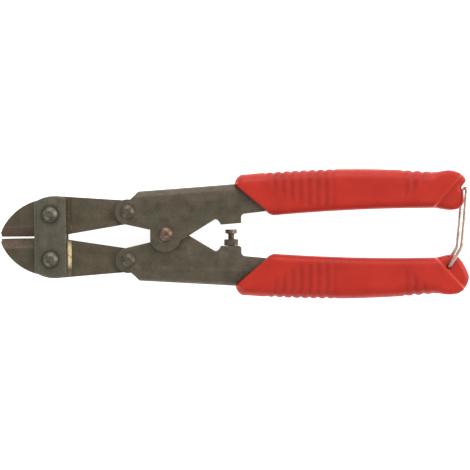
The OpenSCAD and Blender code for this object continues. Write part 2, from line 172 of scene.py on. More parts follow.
RED = srgb(174, 38, 24)
RED_DEEP = srgb(163, 34, 21)
RED_LIGHT = srgb(182, 46, 29)
RED_DIRT = srgb(126, 26, 20)
# Painted shade in the grooves, with some grime
RED_GROOVE_SHADE = srgb(126, 24, 17)
# A painted highlight along the crease
RED_CREASE_HIGHLIGHT = srgb(222, 116, 92)

# Steel tones: dark, light, warm, green, worn, ground and bare
BLACKENED = (
    srgb(70, 63, 49), srgb(91, 83, 67), srgb(91, 71, 60), srgb(68, 74, 57), srgb(101, 92, 75),
    srgb(80, 58, 46), srgb(196, 178, 136),
)
FORGED = (
    srgb(68, 60, 44), srgb(88, 78, 60), srgb(92, 66, 54), srgb(66, 70, 51), srgb(93, 82, 64),
    srgb(92, 68, 53), srgb(206, 186, 138),
)
PLATE = (
    srgb(76, 71, 59), srgb(94, 89, 74), srgb(92, 80, 74), srgb(70, 80, 63), srgb(112, 105, 88),
    srgb(80, 58, 46), srgb(196, 178, 136),
)
# Painted shade round the jaw rivets' heads
RIVET_RING_SHADE = srgb(48, 43, 34)

# Tones of bare and plated metal: light, deep, and dirt that is also painted as shade round rivet rims
RIVET = (srgb(114, 107, 94), srgb(96, 90, 78), srgb(56, 50, 40))
DULL_RIVET = (srgb(92, 86, 72), srgb(82, 76, 63), srgb(68, 62, 50))
COPPER = (srgb(100, 92, 80), srgb(128, 97, 80), srgb(66, 52, 42))
WIRE = (srgb(212, 196, 184), srgb(188, 168, 156), srgb(136, 116, 104))
SCREW = (srgb(136, 125, 115), srgb(102, 88, 77), srgb(68, 54, 45))
NUT = (srgb(106, 96, 84), srgb(88, 76, 64), srgb(60, 50, 41))
WASHER = (srgb(104, 98, 86), srgb(84, 78, 66), srgb(56, 50, 42))


# -------- materials

class Shader:
    """A Principled material, with short ways to add what drives it."""

    def __init__(self, name, metallic, specular=0.5, coat=0, coat_roughness=0.2):
        self.material = bpy.data.materials.new(name)
        self.material.use_nodes = True
        self.tree = self.material.node_tree
        self.bsdf = self.tree.nodes["Principled BSDF"]
        settings = (("Metallic", metallic), ("Specular IOR Level", specular),
                    ("Coat Weight", coat), ("Coat Roughness", coat_roughness))
        for socket, value in settings:
            self.bsdf.inputs[socket].default_value = value
        self.place = self.tree.nodes.new("ShaderNodeTexCoord").outputs["Object"]

    def add(self, kind, inputs, **settings):
        """A new node, with its inputs linked to sockets or set to values."""
        node = self.tree.nodes.new(kind)
        for key, value in settings.items():
            setattr(node, key, value)
        for key, value in inputs.items():
            if isinstance(value, bpy.types.NodeSocket):
                self.tree.links.new(value, node.inputs[key])
            else:
                node.inputs[key].default_value = value
        return node

    def noise(self, size, detail=3, stretch=(1, 1, 1), shift=0, distortion=0):
        """Noise whose blobs are about size millimetres across, from 0 to 1."""
        mapped = self.add("ShaderNodeMapping", {
            "Vector": self.place, "Location": (shift, shift, shift), "Scale": stretch,
        })
        made = self.add("ShaderNodeTexNoise", {
            "Vector": mapped.outputs["Vector"], "Scale": 1 / (size * MM), "Detail": detail,
            "Distortion": distortion,
        })
        return made.outputs["Fac"]

    def spread(self, value, low, high, to_low=0.0, to_high=1.0):
        """value with low..high stretched to to_low..to_high, and clamped."""
        made = self.add("ShaderNodeMapRange", {
            "Value": value, "From Min": low, "From Max": high, "To Min": to_low, "To Max": to_high,
        })
        return made.outputs["Result"]

    def maths(self, operation, a, b):
        made = self.add("ShaderNodeMath", {0: a, 1: b}, operation=operation)
        return made.outputs["Value"]

    def mix(self, share, a, b):
        """Colour a with share of colour b laid over it."""
        made = self.add("ShaderNodeMix", {0: share, 6: a, 7: b}, data_type="RGBA")
        return made.outputs[2]

    def patches(self, colour, tone, size, start, full, share=1.0, **noise_settings):
        """colour with patches of tone over it, about size millimetres across. There is none of
        tone where the noise is below start, and share of it where the noise is above full."""
        cover = self.spread(self.noise(size, **noise_settings), start, full, 0, share)
        return self.mix(cover, colour, tone)

    def marked(self, colour, tone, name, share):
        """colour with share of tone over it where the mesh has the named attribute."""
        where = self.add("ShaderNodeAttribute", {}, attribute_name=name).outputs["Fac"]
        return self.mix(self.maths("MULTIPLY", where, share), colour, tone)

    def near(self, point, radius):
        """1 at a point of the row frame, both in millimetres, falling to 0 at radius."""
        metres = [c * MM for c in point]
        made = self.add("ShaderNodeVectorMath", {0: self.place, 1: metres}, operation="DISTANCE")
        return self.spread(made.outputs["Value"], 0, radius * MM, 1, 0)

    def finish(self, colour, roughness, height, depth):
        """Sets the colour, the roughness and a bump of depth millimetres."""
        bump = self.add("ShaderNodeBump", {"Height": height, "Distance": depth * MM, "Strength": 1})
        driven = (("Base Color", colour), ("Roughness", roughness), ("Normal", bump.outputs["Normal"]))
        for socket, value in driven:
            self.tree.links.new(value, self.bsdf.inputs[socket])
        return self.material


# How much smoother and rougher than its mean a steel or a bare metal is in places
SMOOTHER = 0.08
STEEL_ROUGHER = 0.12
METAL_ROUGHER = 0.15


def steel(name, tones, rough, metallic, grain=0.03, scuffs=(), bright_steps=(), shade_rings=()):
    """Oxide-blackened steel: mottled tones, fine grain, worn edges, ground and bare faces, and painted
    shade round rivets.

    scuffs are where the finish is rubbed through, bright_steps where a bare face shows, and the
    last where painted shade rings a rivet head: each is a point and a radius, in millimetres."""
    dark, light, warm, green, worn, ground, bare = tones
    s = Shader(name, metallic)
    colour = s.patches(dark, light, size=4.5, start=0.35, full=0.65, detail=5)
    colour = s.patches(colour, warm, size=9, start=0.5, full=0.68, share=0.45, shift=3)
    colour = s.patches(colour, green, size=8, start=0.5, full=0.68, share=0.4, shift=7)
    colour = s.patches(colour, light, size=0.9, start=0.48, full=0.66, share=0.5, shift=2)
    colour = s.patches(colour, dark, size=0.8, start=0.5, full=0.68, share=0.5, shift=17)
    colour = s.patches(colour, worn, size=0.4, start=0.68, full=0.76, share=0.25,
                       detail=2, stretch=(0.1, 1, 1), shift=5, distortion=0.4)
    lapped = s.noise(2.5, detail=4, stretch=(0.3, 1, 1), shift=15)
    lapped = s.spread(lapped, 0.35, 0.65, to_low=0.15, to_high=0.9)
    colour = s.marked(colour, ground, "ground", lapped)
    shown = s.noise(3, detail=4, stretch=(1, 1.4, 1), shift=11)
    shown = s.spread(shown, 0.3, 0.5, to_low=0.25, to_high=1)
    for point, radius in bright_steps:
        bright = s.maths("MULTIPLY", shown, s.spread(s.near(point, radius), 0, 0.5))
        colour = s.marked(colour, bare, "bare", bright)
    wear_and_highlight = s.spread(s.noise(1.6, detail=4, shift=9), 0.36, 0.6, to_low=0.15, to_high=0.85)
    colour = s.marked(colour, worn, "wear", wear_and_highlight)
    for point, radius in scuffs:
        flecks = s.spread(s.noise(0.9, detail=4, stretch=(0.7, 1.3, 1), shift=13), 0.5, 0.62)
        colour = s.mix(s.maths("MULTIPLY", s.near(point, radius), flecks), colour, worn)
    # Painted shade ringing each rivet head, darkest next to it
    for point, radius in shade_rings:
        ring_shade = s.spread(s.near(point, radius), 0, 0.3, to_low=0, to_high=0.75)
        colour = s.mix(ring_shade, colour, RIVET_RING_SHADE)
    roughness = s.spread(s.noise(1.3, detail=4, shift=1), 0.3, 0.7,
                         to_low=rough - SMOOTHER, to_high=rough + STEEL_ROUGHER)
    height = s.maths("ADD", s.noise(0.28), s.maths("MULTIPLY", s.noise(2.5), 2.0))
    return s.finish(colour, roughness, height, grain)


def worn_metal(name, tones, rough, metallic=0.9, grain=0.02, size=1.2):
    """Bare or plated metal in two tones, with darker dirt in patches size millimetres across, and the
    dirt tone painted as shade round a rivet's rim where the mesh marks it.
    """
    light, deep, dirt_and_shade = tones
    s = Shader(name, metallic)
    colour = s.patches(light, deep, size, start=0.35, full=0.65, detail=4)
    colour = s.patches(colour, dirt_and_shade, size * 1.7, start=0.5, full=0.68, share=0.8, detail=4, shift=4)
    # Painted shade: the rim of a rivet head darkened as its ring shadow
    colour = s.marked(colour, dirt_and_shade, "painted_shade", 0.85)
    roughness = s.spread(s.noise(size * 0.7, shift=8), 0.3, 0.7,
                         to_low=rough - SMOOTHER, to_high=rough + METAL_ROUGHER)
    height = s.maths("ADD", s.noise(0.2, detail=2), s.noise(size, shift=6))
    return s.finish(colour, roughness, height, grain)


def pvc(name):
    """Soft red PVC: an even colour with faint clouding, painted shade with some grime in the grooves,
    a painted highlight along the crease, and satin gloss.
    """
    s = Shader(name, metallic=0, specular=0.25, coat=0.03, coat_roughness=0.35)
    colour = s.patches(RED_DEEP, RED, size=14, start=0.35, full=0.65)
    colour = s.patches(colour, RED_LIGHT, size=5, start=0.5, full=0.75, share=0.35,
                       detail=4, stretch=(0.5, 1, 1), shift=4)
    colour = s.patches(colour, RED_DIRT, size=0.9, start=0.68, full=0.82, share=0.25,
                       detail=4, shift=9)
    # Painted shade, with some grime, darkens the grooves and the notches in the edge
    painted_shade = s.spread(s.noise(2.5, detail=4, shift=5), 0.3, 0.7, to_low=0.45, to_high=0.85)
    colour = s.marked(colour, RED_GROOVE_SHADE, "groove", painted_shade)
    # Painted highlight: the crease line lightened as if it caught the light
    colour = s.marked(colour, RED_CREASE_HIGHLIGHT, "crease", 0.22)
    roughness = s.spread(s.noise(3, detail=4, shift=2), 0.3, 0.7, to_low=0.4, to_high=0.54)
    height = s.maths("ADD", s.noise(0.7), s.maths("MULTIPLY", s.noise(6, detail=2), 1.5))
    return s.finish(colour, roughness, height, depth=0.03)


# -------- mesh helpers

def shade(bm, sharp_angle):
    """Smooth faces, with the edges that bend by sharp_angle degrees or more left crisp."""
    limit = math.radians(sharp_angle)
    for face in bm.faces:
        face.smooth = True
    for edge in bm.edges:
        edge.smooth = len(edge.link_faces) == 2 and edge.calc_face_angle(0) < limit


def make_piece(name, bm, body, material, stands_for, sharp_angle=32):
    """Turns a bmesh in millimetres into a piece that rides on a body in place of a CAD node."""
    bmesh.ops.recalc_face_normals(bm, faces=bm.faces)
    shade(bm, sharp_angle)
    piece = mesh_object(name, bm)
    piece.data.materials.append(material)
    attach(piece, body)
    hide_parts(stands_for)
    return piece


def cut_away(piece, cutter):
    """Takes a bmesh in millimetres away from a piece's mesh."""
    tool = mesh_object("cutter", cutter)
    cut = piece.modifiers.new("cut", "BOOLEAN")
    cut.operation = "DIFFERENCE"
    cut.solver = "EXACT"
    cut.object = tool
    bpy.context.view_layer.update()
    evaluated = piece.evaluated_get(bpy.context.evaluated_depsgraph_get())
    piece.data = bpy.data.meshes.new_from_object(evaluated)
    piece.modifiers.clear()
    bpy.data.objects.remove(tool)


def skin(bm, rings, closed_ends=True):
    """Joins rings of equally many points with quads, and closes the first and last ring."""
    made = [[bm.verts.new(p) for p in ring] for ring in rings]
    count = len(made[0])
    for a, b in zip(made, made[1:]):
        for i in range(count):
            j = (i + 1) % count
            bm.faces.new((a[i], a[j], b[j], b[i]))
    if closed_ends:
        bm.faces.new(made[0][::-1])
        bm.faces.new(made[-1])
    return made


def ring_round(bm, rings):
    """Joins rings into a closed tube, the last of them to the first."""
    made = skin(bm, rings, closed_ends=False)
    count = len(rings[0])
    for i in range(count):
        j = (i + 1) % count
        bm.faces.new((made[-1][i], made[-1][j], made[0][j], made[0][i]))


def turns(count):
    """Angles of count points evenly round a circle."""
    return [2 * math.pi * i / count for i in range(count)]


def circle(r, z, count, at):
    return [(at[0] + r * math.cos(t), at[1] + r * math.sin(t), z) for t in turns(count)]


def straight(a, b, steps):
    """Points on the way from a to b, with a but without b."""
    return [a.lerp(b, i / steps) for i in range(steps)]


def fillet(points, radius, steps=8):
    """A path through points whose corners are rounded to radius."""
    path = [Vector(points[0])]
    for a, b, c in zip(points, points[1:], points[2:]):
        a, b, c = Vector(a), Vector(b), Vector(c)
        u, v = (a - b).normalized(), (c - b).normalized()
        half = u.angle(v) / 2
        centre = b + (u + v).normalized() * radius / math.sin(half)
        start = (b + u * radius / math.tan(half) - centre).normalized()
        end = (b + v * radius / math.tan(half) - centre).normalized()
        path += [centre + start.slerp(end, i / steps) * radius for i in range(steps + 1)]
    return path + [Vector(points[-1])]


def wire(path, radius, sides, end_round):
    """A bmesh of a round wire along path, with its ends broken by a small round."""
    n = len(path)
    dirs = [(path[min(i + 1, n - 1)] - path[max(i - 1, 0)]).normalized() for i in range(n)]
    side = dirs[0].orthogonal().normalized()
    rings = []
    for place, along in zip(path, dirs):
        side = (side - along * side.dot(along)).normalized()
        across = along.cross(side)
        rings.append([
            place + (side * math.cos(t) + across * math.sin(t)) * radius for t in turns(sides)
        ])
    tips = []
    for ring, end, inwards in ((rings[0], path[0], dirs[0]), (rings[-1], path[-1], -dirs[-1])):
        tips.append([end + (p - end) * (1 - end_round / radius) for p in ring])
        for k, p in enumerate(ring):
            ring[k] = p + inwards * end_round
    bm = bmesh.new()
    skin(bm, tips[:1] + rings + tips[1:])
    return bm


# -------- steel parts from the CAD

# Millimetres: how close points are one point, and how close a height is to a level
WELD = 0.002
AT_LEVEL = 0.01

# The angle between faces up to which they are one face, and from which their edge is sharp
SAME_FACE = math.radians(0.8)
SHARP = math.radians(28)

# A jaw's bevels and steps lean: their normals' Z lies between these, and X or Y is over FACING
LEAN = (0.25, 0.95)
FACING = 0.3

# Half the thickness of a jaw's head, and how wide the edges of each part are broken
HEAD_HALF = 3
HANDLE_EDGE = 0.22
JAW_EDGE = 0.25
PLATE_EDGE = 0.35

# Where the handles are rubbed through: a place beside the centre pivot, and a radius
VEE_FROM_PIVOT = (11.5, 2.4)
VEE_R = 5.5

# Where the jaws are bare: how far behind the plates, then (y, height over the mid-plane), radius
BEHIND_PLATES = 1.2
BARE_PLACES = (((-8.0, 2), 6.5), ((4.4, 3), 2))

# How far painted shade reaches round the jaw rivets
RING_SHADE_R = 5.2


def refined(node, body, material, width, levels, mark=None):
    """Stands for a flat steel piece: its own CAD shape, with the edges of the faces at the
    heights in levels broken to width. Broken edges get the face attribute wear, and mark()
    names any other attribute that a face gets."""
    bm = bmesh.new()
    bm.from_mesh(frame["nodes"][node].data)
    bmesh.ops.scale(bm, vec=(1 / MM,) * 3, verts=bm.verts)
    bmesh.ops.remove_doubles(bm, verts=bm.verts, dist=WELD)
    bmesh.ops.dissolve_limit(bm, angle_limit=SAME_FACE, verts=bm.verts, edges=bm.edges)
    layers = {n: bm.faces.layers.float.new(n) for n in ("wear", "ground", "bare")}

    def broken(edge):
        heights = [v.co.z for v in edge.verts]
        flat = any(all(abs(h - level) < AT_LEVEL for h in heights) for level in levels)
        return flat and len(edge.link_faces) == 2 and edge.calc_face_angle(0) > SHARP

    chosen = [e for e in bm.edges if broken(e)]
    made = bmesh.ops.bevel(
        bm, geom=chosen, offset=width, segments=2, profile=0.5, affect="EDGES", clamp_overlap=False,
    )
    for face in bm.faces:
        for name in (mark(face) if mark else ()):
            face[layers[name]] = 1
    for face in made["faces"]:
        face[layers["wear"]] = 1
    make_piece(node + "_steel", bm, body, material, node)


def jaw_marks(face):
    """Cutting bevels are ground, and the step behind the link plates is bare."""
    n = face.normal
    if not LEAN[0] <= abs(n.z) <= LEAN[1]:
        return ()
    if abs(n.x) > FACING:
        return ("bare",)
    if abs(n.y) > FACING:
        return ("ground",)
    return ()


def face_levels(node):
    """The heights of a node's rear and front faces."""
    low, high = box_mm(node)
    return (low[2], high[2])


def handle_steel():
    """The handles' steel, rubbed through in the vee between them, on the upper one's face."""
    x, y, _ = middle_mm("centre_pivot_rivet")
    vee = (x + VEE_FROM_PIVOT[0], y + VEE_FROM_PIVOT[1], box_mm("upper_handle")[1][2])
    return steel("blackened_steel", BLACKENED, 0.52, 0.4, grain=0.04, scuffs=[(vee, VEE_R)])


def forged_steel():
    """The jaws' steel, bare where they step up just behind the link plates."""
    x = box_mm("front_link_plate")[1][0] + BEHIND_PLATES
    steps = [((x, y, MID_Z + up), radius) for (y, up), radius in BARE_PLACES]
    return steel("forged_steel", FORGED, 0.55, 0.35, grain=0.05, bright_steps=steps)


def plate_steel():
    """The link plates' steel, with painted shade round the jaw rivets."""
    rings = []
    for side in ("upper", "lower"):
        x, y, _ = middle_mm(side + "_jaw_rivet")
        rings.append(((x, y, box_mm("front_link_plate")[1][2]), RING_SHADE_R))
    return steel("plate_steel", PLATE, 0.48, 0.45, grain=0.035, shade_rings=rings)


def make_steel():
    handle = handle_steel()
    jaw = forged_steel()
    plate = plate_steel()
    for side in ("upper", "lower"):
        name = side + "_handle"
        refined(name, name + "_body", handle, HANDLE_EDGE, face_levels(name))
        name = side + "_jaw"
        levels = (MID_Z - HEAD_HALF, MID_Z + HEAD_HALF, *face_levels(name))
        refined(name, name + "_body", jaw, JAW_EDGE, levels, jaw_marks)
    for end in ("front", "rear"):
        name = end + "_link_plate"
        refined(name, "link_body", plate, PLATE_EDGE, face_levels(name))


# -------- rivets and washers

SHANK_R = 2.48
WASHER_BORE = 2.5
WASHER_EDGE = 0.12

# A set head stays HEAD_INSET inside the CAD's, and a rear head is REAR_SMALLER in radius
HEAD_INSET = 0.02
REAR_SMALLER = 0.3

# Heights on a set head: its lip, its rolled rim's top and its dome's foot, and its dimple's depth
LIP = 0.12
RIM_TOP = 0.3
DOME_FOOT = 0.35
DIMPLE = 0.42
DOME_STEPS = 15

# Shares of a head's radius: the foot and top of its rim, where the painted rim shade starts and how
# soon it is full
RIM_SHARES = (0.94, 0.995)
RIM_SHADE_FROM = 0.86
RIM_SHADE_WIDTH = 0.1

# The body that carries each node
BODIES = frame["record"]["behaviour"]["bodies"]
HOME = {node: body for body, nodes in BODIES.items() for node in nodes}

# Hammer marks to the millimetre, and how far the centre rivet's head was pushed aside
HAMMER_MARKS = 0.6
HAMMERED_ASIDE = (0.35, 0.6)


def dome_profile(r, low, high, dimple_r):
    """Rising profile of a set rivet head: a rolled rim, a dome and a dimple in its middle."""
    h = high - low
    ball = (r * r + h * h) / (2 * h)
    foot, top = RIM_SHARES
    rim = [(r * foot, low), (r, low + LIP), (r * top, low + RIM_TOP)]
    dome = []
    for i in range(1, DOME_STEPS):
        reach = r * math.cos(math.radians(90 * i / DOME_STEPS))
        dome.append((reach, low + math.sqrt(ball ** 2 - reach ** 2) - (ball - h)))
    dome = [(reach, z) for reach, z in dome if z > low + DOME_FOOT]
    cup = [(reach, z - DIMPLE * math.exp(-(reach / dimple_r) ** 4)) for reach, z in dome]
    return rim + cup + [(0, cup[-1][1])]


def lathe(profile, at, dent, seed, count=72, least=0.02):
    """A bmesh of a profile of (radius, height) points turned about the vertical line at.

    dent is how far hammer marks sink the surface, in millimetres. Painted shade darkens the rim."""
    bm = bmesh.new()
    skin(bm, [circle(max(r, least), z, count, at) for r, z in profile])
    # Painted shade, darkest at the rim where the ring shadow falls
    painted_shade = bm.verts.layers.float.new("painted_shade")
    rim = max(r for r, _ in profile)
    for v in bm.verts:
        reach = math.dist(v.co.xy, at[:2])
        v[painted_shade] = min(1, max(0, (reach / rim - RIM_SHADE_FROM) / RIM_SHADE_WIDTH))
        push = noise.noise(Vector(v.co) * HAMMER_MARKS + Vector((seed, 0, 0)))
        v.co.z -= abs(push) * dent * min(1, reach)
    return bm


def make_rivet(node, under, material, dimple_r, seed, dent=0.12, aside=(0, 0)):
    """A rivet whose front head is set on the node under, and pushed aside by the hammer."""
    low, high = box_mm(node)
    at = middle_mm(node)
    r = (high[0] - low[0]) / 2
    washer_low = box_mm(node.replace("_rivet", "_washer"))[0][2]
    head_low = box_mm(under)[1][2]
    front = dome_profile(r, head_low, high[2] - HEAD_INSET, dimple_r)
    rear = dome_profile(r - REAR_SMALLER, -washer_low, -low[2] - HEAD_INSET, dimple_r)
    shank = [(SHANK_R, washer_low), (SHANK_R, head_low)]
    bm = lathe([(reach, -z) for reach, z in rear[::-1]] + shank + front, at, dent, seed)
    for v in bm.verts:
        if v.co.z > head_low - AT_LEVEL:
            v.co.x += aside[0]
            v.co.y += aside[1]
    make_piece(node + "_set", bm, HOME[node], material, node, sharp_angle=40)


def make_washer(node, material, count=56):
    """A washer with its outer edges broken."""
    low, high = box_mm(node)
    at = middle_mm(node)
    r = (high[0] - low[0]) / 2
    rear, front = low[2], high[2]
    loop = [
        (WASHER_BORE, rear), (r - WASHER_EDGE, rear), (r, rear + WASHER_EDGE),
        (r, front - WASHER_EDGE), (r - WASHER_EDGE, front), (WASHER_BORE, front),
    ]
    bm = bmesh.new()
    ring_round(bm, [circle(reach, z, count, at) for reach, z in loop])
    make_piece(node + "_ring", bm, HOME[node], material, node)


def make_rivets():
    bright = worn_metal("rivet_metal", RIVET, 0.40, 0.8, grain=0.012)
    dull = worn_metal("dull_rivet_metal", DULL_RIVET, 0.42, 0.6, grain=0.012)
    copper = worn_metal("coppered_metal", COPPER, 0.42, 0.8, grain=0.015, size=1.8)
    ring = worn_metal("washer_metal", WASHER, 0.42, 0.8, grain=0.03)
    for i, side in enumerate(("upper", "lower")):
        make_rivet(side + "_jaw_rivet", "front_link_plate", bright,
                   dimple_r=1.25, seed=i)
        make_rivet(side + "_tail_rivet", side + "_handle", dull,
                   dimple_r=0.95, seed=3 + i)
    make_rivet("centre_pivot_rivet", "upper_handle", copper,
               dimple_r=1.1, seed=7, dent=0.35, aside=HAMMERED_ASIDE)
    for node in HOME:
        if node.endswith("_washer"):
            make_washer(node, ring)


# -------- stop screw

SCREW_R = 1.5
THREAD_PITCH = 0.5
THREAD_DEPTH = 0.2
THREAD_STEPS = 8
SCREW_SIDES = 48

# Depths below the top of the head: its underside, and where the neck ends and the thread starts
HEAD_H = 1.7
NECK = 2.1
RUN_IN = 0.1

# The end of the screw narrows to POINT_SHARE of its radius over POINT_H
POINT_H = 0.5
POINT_SHARE = 0.7

SLOT_DEEP = 0.65
SLOT_WIDE = 0.75
SLOT_TURN = math.radians(25)


def screw_head(r):
    """Profile of a crowned cheese head and its neck: radii and depths below the top."""
    crown = [(0.02, 0.12), (r * 0.55, 0.05), (r - 0.35, 0), (r - 0.08, 0.1), (r, 0.4)]
    return crown + [(r, HEAD_H), (r - 0.2, HEAD_H + 0.1), (SCREW_R + 0.1, NECK)]


def thread_radius(down, turn, length):
    """Radius of the thread at a depth and a share of a whole turn."""
    phase = (down / THREAD_PITCH + turn) % 1
    cut = THREAD_DEPTH * abs(2 * phase - 1) * min(1, (down - NECK) / THREAD_PITCH)
    point = min(1, (length - down) / POINT_H) * (1 - POINT_SHARE) + POINT_SHARE
    return (SCREW_R - cut) * point


def make_stop_screw():
    """A cheese-head screw along Y, with a cut thread and a slot."""
    low, high = box_mm("stop_screw")
    at = middle_mm("stop_screw")
    top = high[1]
    length = high[1] - low[1]
    head_r = (high[0] - low[0]) / 2

    def ring(down, radius):
        """Points at a depth, at the radius that radius() gives for a share of a turn."""
        radii = [radius(i / SCREW_SIDES) for i in range(SCREW_SIDES)]
        return [(at[0] + r * math.cos(t), top - down, at[2] + r * math.sin(t))
                for r, t in zip(radii, turns(SCREW_SIDES))]

    rings = [ring(down, lambda turn: r) for r, down in screw_head(head_r)]
    start = NECK + RUN_IN
    steps = int((length - NECK) / (THREAD_PITCH / THREAD_STEPS))
    for k in range(steps + 1):
        down = start + (length - start) * k / steps
        rings.append(ring(down, lambda turn: thread_radius(down, turn, length)))
    bm = bmesh.new()
    skin(bm, rings)
    metal = worn_metal("screw_metal", SCREW, 0.38, 0.85, size=0.8)
    screw = make_piece("stop_screw_turned", bm, "stop_screw_body", metal,
                       "stop_screw", sharp_angle=50)
    slot = bmesh.new()
    bmesh.ops.create_cube(slot, size=1)
    bmesh.ops.scale(slot, vec=(head_r * 2.4, SLOT_DEEP * 2, SLOT_WIDE), verts=slot.verts)
    bmesh.ops.rotate(slot, matrix=Matrix.Rotation(SLOT_TURN, 3, "Y"), verts=slot.verts)
    bmesh.ops.translate(slot, vec=(at[0], top, at[2]), verts=slot.verts)
    cut_away(screw, slot)


# -------- lock nut

NUT_ACROSS = 5.5
NUT_BORE = 1.55
NUT_CHAMFER = 0.4
NUT_SIDES = 96
CHAMFER_STEPS = 5

# At a face the chamfer cone is CONE_CLEAR wider than the flats. It widens at CONE_SLOPE
CONE_CLEAR = 0.02
CONE_SLOPE = 1.7
BORE_CHAMFER = 0.25


def nut_radius(turn, edge):
    """Hexagon radius at a turn, cut by the chamfer cone edge millimetres from a face."""
    sixth = math.radians(60)
    off = (turn + sixth / 2) % sixth - sixth / 2
    flat = NUT_ACROSS / 2
    return min(flat / math.cos(off), flat + CONE_CLEAR + edge * CONE_SLOPE)


def make_lock_nut():
    """A hexagon nut with chamfered corners, along Y."""
    low, high = box_mm("stop_lock_nut")
    at = middle_mm("stop_lock_nut")
    thick = high[1] - low[1]

    def ring(down, radius):
        return [(at[0] + radius(t) * math.sin(t), high[1] - down, at[2] + radius(t) * math.cos(t))
                for t in turns(NUT_SIDES)]

    steps = [NUT_CHAMFER * i / CHAMFER_STEPS for i in range(CHAMFER_STEPS + 1)]
    rings = []
    for down in steps + [thick - step for step in steps[::-1]]:
        rings.append(ring(down, lambda t: nut_radius(t, min(down, thick - down))))
    bore = ((thick, BORE_CHAMFER), (thick - BORE_CHAMFER, 0), (BORE_CHAMFER, 0), (0, BORE_CHAMFER))
    for down, wider in bore:
        rings.append(ring(down, lambda t: NUT_BORE + wider))
    bm = bmesh.new()
    ring_round(bm, rings)
    metal = worn_metal("nut_metal", NUT, 0.46, 0.7, grain=0.015, size=0.8)
    make_piece("stop_lock_nut_hex", bm, "lower_handle_body", metal,
               "stop_lock_nut", sharp_angle=25)


# -------- return spring

SPRING_R = 4.05
SPRING_WIRE = 0.4
SPRING_RISE = 1.04
SPRING_TURNS = 3
COIL_STEPS = 36
LEG_STEPS = 12


def make_return_spring():
    """A torsion spring round the centre pivot, whose legs push on the spines."""
    _, high = box_mm("return_spring")
    x = middle_mm("centre_pivot_rivet")[0]
    leg_x = high[0] - SPRING_WIRE * 0.8
    leg_y = high[1] - SPRING_WIRE
    leg = math.hypot(leg_x - x, leg_y)
    leave = math.atan2(leg_y, leg_x - x) + math.acos(SPRING_R / leg)
    sweep = 2 * math.pi * SPRING_TURNS - 2 * leave
    steps = COIL_STEPS * SPRING_TURNS
    coil = []
    for i in range(steps + 1):
        turn = leave + sweep * i / steps
        rise = SPRING_RISE * (1 - 2 * i / steps)
        coil.append(Vector((x + SPRING_R * math.cos(turn), SPRING_R * math.sin(turn), MID_Z + rise)))
    first = Vector((leg_x, leg_y, MID_Z + SPRING_RISE))
    last = Vector((leg_x, -leg_y, MID_Z - SPRING_RISE))
    path = straight(first, coil[0], LEG_STEPS) + coil[:-1]
    path += straight(coil[-1], last, LEG_STEPS) + [last]
    bm = wire(path, SPRING_WIRE * 0.99, sides=12, end_round=0.1)
    metal = worn_metal("spring_metal", WASHER, 0.3, 0.9, grain=0.002, size=0.6)
    spring = make_piece("return_spring_coil", bm, "upper_handle_body", metal,
                        "return_spring", sharp_angle=50)
    # It lies between both handles, so it hangs on neither
    spring.parent = None
    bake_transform(spring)


# -------- where the grips lie

# Levels and ends of the grips; crests and heels stay a hair inside the CAD's box
HAIR = 0.03
grip_low, grip_high = box_mm("upper_grip")
GRIP_FRONT = grip_low[0]
GRIP_END = box_mm("lower_grip")[1][0]
GRIP_CREST = grip_high[1] - HAIR
GRIP_HEEL = grip_low[1] + HAIR
GRIP_HALF = grip_high[2] - MID_Z
END_HALF = 5.9

# The mouth is a slanting edge from the nose to the heel
NOSE_Y = 22.6
HEEL = (GRIP_FRONT + 15.6, GRIP_HEEL + 0.7)

# The latch turns in this hole of the lower grip
HOLE = (GRIP_END - 9.3, 15.2)
HOLE_R = 0.88

# A point on each crease, and the crease's angle in degrees
CREASE = {"upper": ((GRIP_END - 11.2, 16.6), 49), "lower": ((GRIP_END - 10.4, 16.6), 47.6)}


# -------- latch

LATCH_WIRE = 0.8
LATCH_BENDS = ((GRIP_END - 3.85, -6.7), (GRIP_END - 2.55, 5.1))
LATCH_BAR = (GRIP_END - 1.2, 19.7)
PIN_INNER = 1.0

# Radii of the bends at the foot, along the leg and at the cross-bar
FOOT_BEND = 0.9
LEG_BEND = 6.0
HEAD_BEND = 1.5


def make_latch():
    """A bail of round wire: two legs that turn in the lower grip's hole, and a cross-bar."""
    low, high = box_mm("latch_wire")
    foot = (HOLE[0], -HOLE[1])
    knee, shin = LATCH_BENDS

    def half(z, inwards):
        """The path from inside the hole along the leg at height z to the cross-bar's middle."""
        pin = fillet([(*foot, MID_Z - inwards * PIN_INNER), (*foot, z), (*knee, z)], FOOT_BEND)
        leg = fillet([(*foot, z), (*knee, z), (*shin, z), (*LATCH_BAR, z)], LEG_BEND)
        head = fillet([(*shin, z), (*LATCH_BAR, z), (*LATCH_BAR, MID_Z)], HEAD_BEND)
        return pin[:-1] + leg[1:-1] + head[1:-1]

    front = half(high[2] - LATCH_WIRE, -1)
    rear = half(low[2] + LATCH_WIRE, 1)
    bm = wire(front + rear[::-1], LATCH_WIRE, sides=20, end_round=0.2)
    metal = worn_metal("plated_wire", WIRE, 0.3, 0.9, grain=0.002, size=2.5)
    make_piece("latch_bail", bm, "latch_body", metal, "latch_wire", sharp_angle=50)


# -------- grip outline

# How far the edge is rounded along the back, round the end, along the inside and at the mouth
ROUND = {"back": 5.0, "end": 2.4, "inside": 3.5, "mouth": 0.9}

# The end lobe starts here. The back bows down from its crown by BACK_DROP to that place, and
# the inside bows out by INSIDE_RISE between its start and its crest
LOBE_X = GRIP_END - 14
CROWN_X = GRIP_FRONT + 0.46 * (GRIP_END - GRIP_FRONT)
BACK_DROP = 1.85
CREST_X = GRIP_END - 23
INSIDE_X = GRIP_FRONT + 17.5
INSIDE_RISE = 2.6

# Distance between points along the outline
OUTLINE_GAP = 0.55


def back_line(x):
    """The back's bow, from the nose to the start of the end lobe."""
    return GRIP_CREST - BACK_DROP * ((x - CROWN_X) / (LOBE_X - CROWN_X)) ** 2


def inside_line(x):
    """The inside's bow, from the heel to the start of the end lobe."""
    return GRIP_HEEL + INSIDE_RISE * (1 - ((x - CREST_X) / (INSIDE_X - CREST_X)) ** 2)


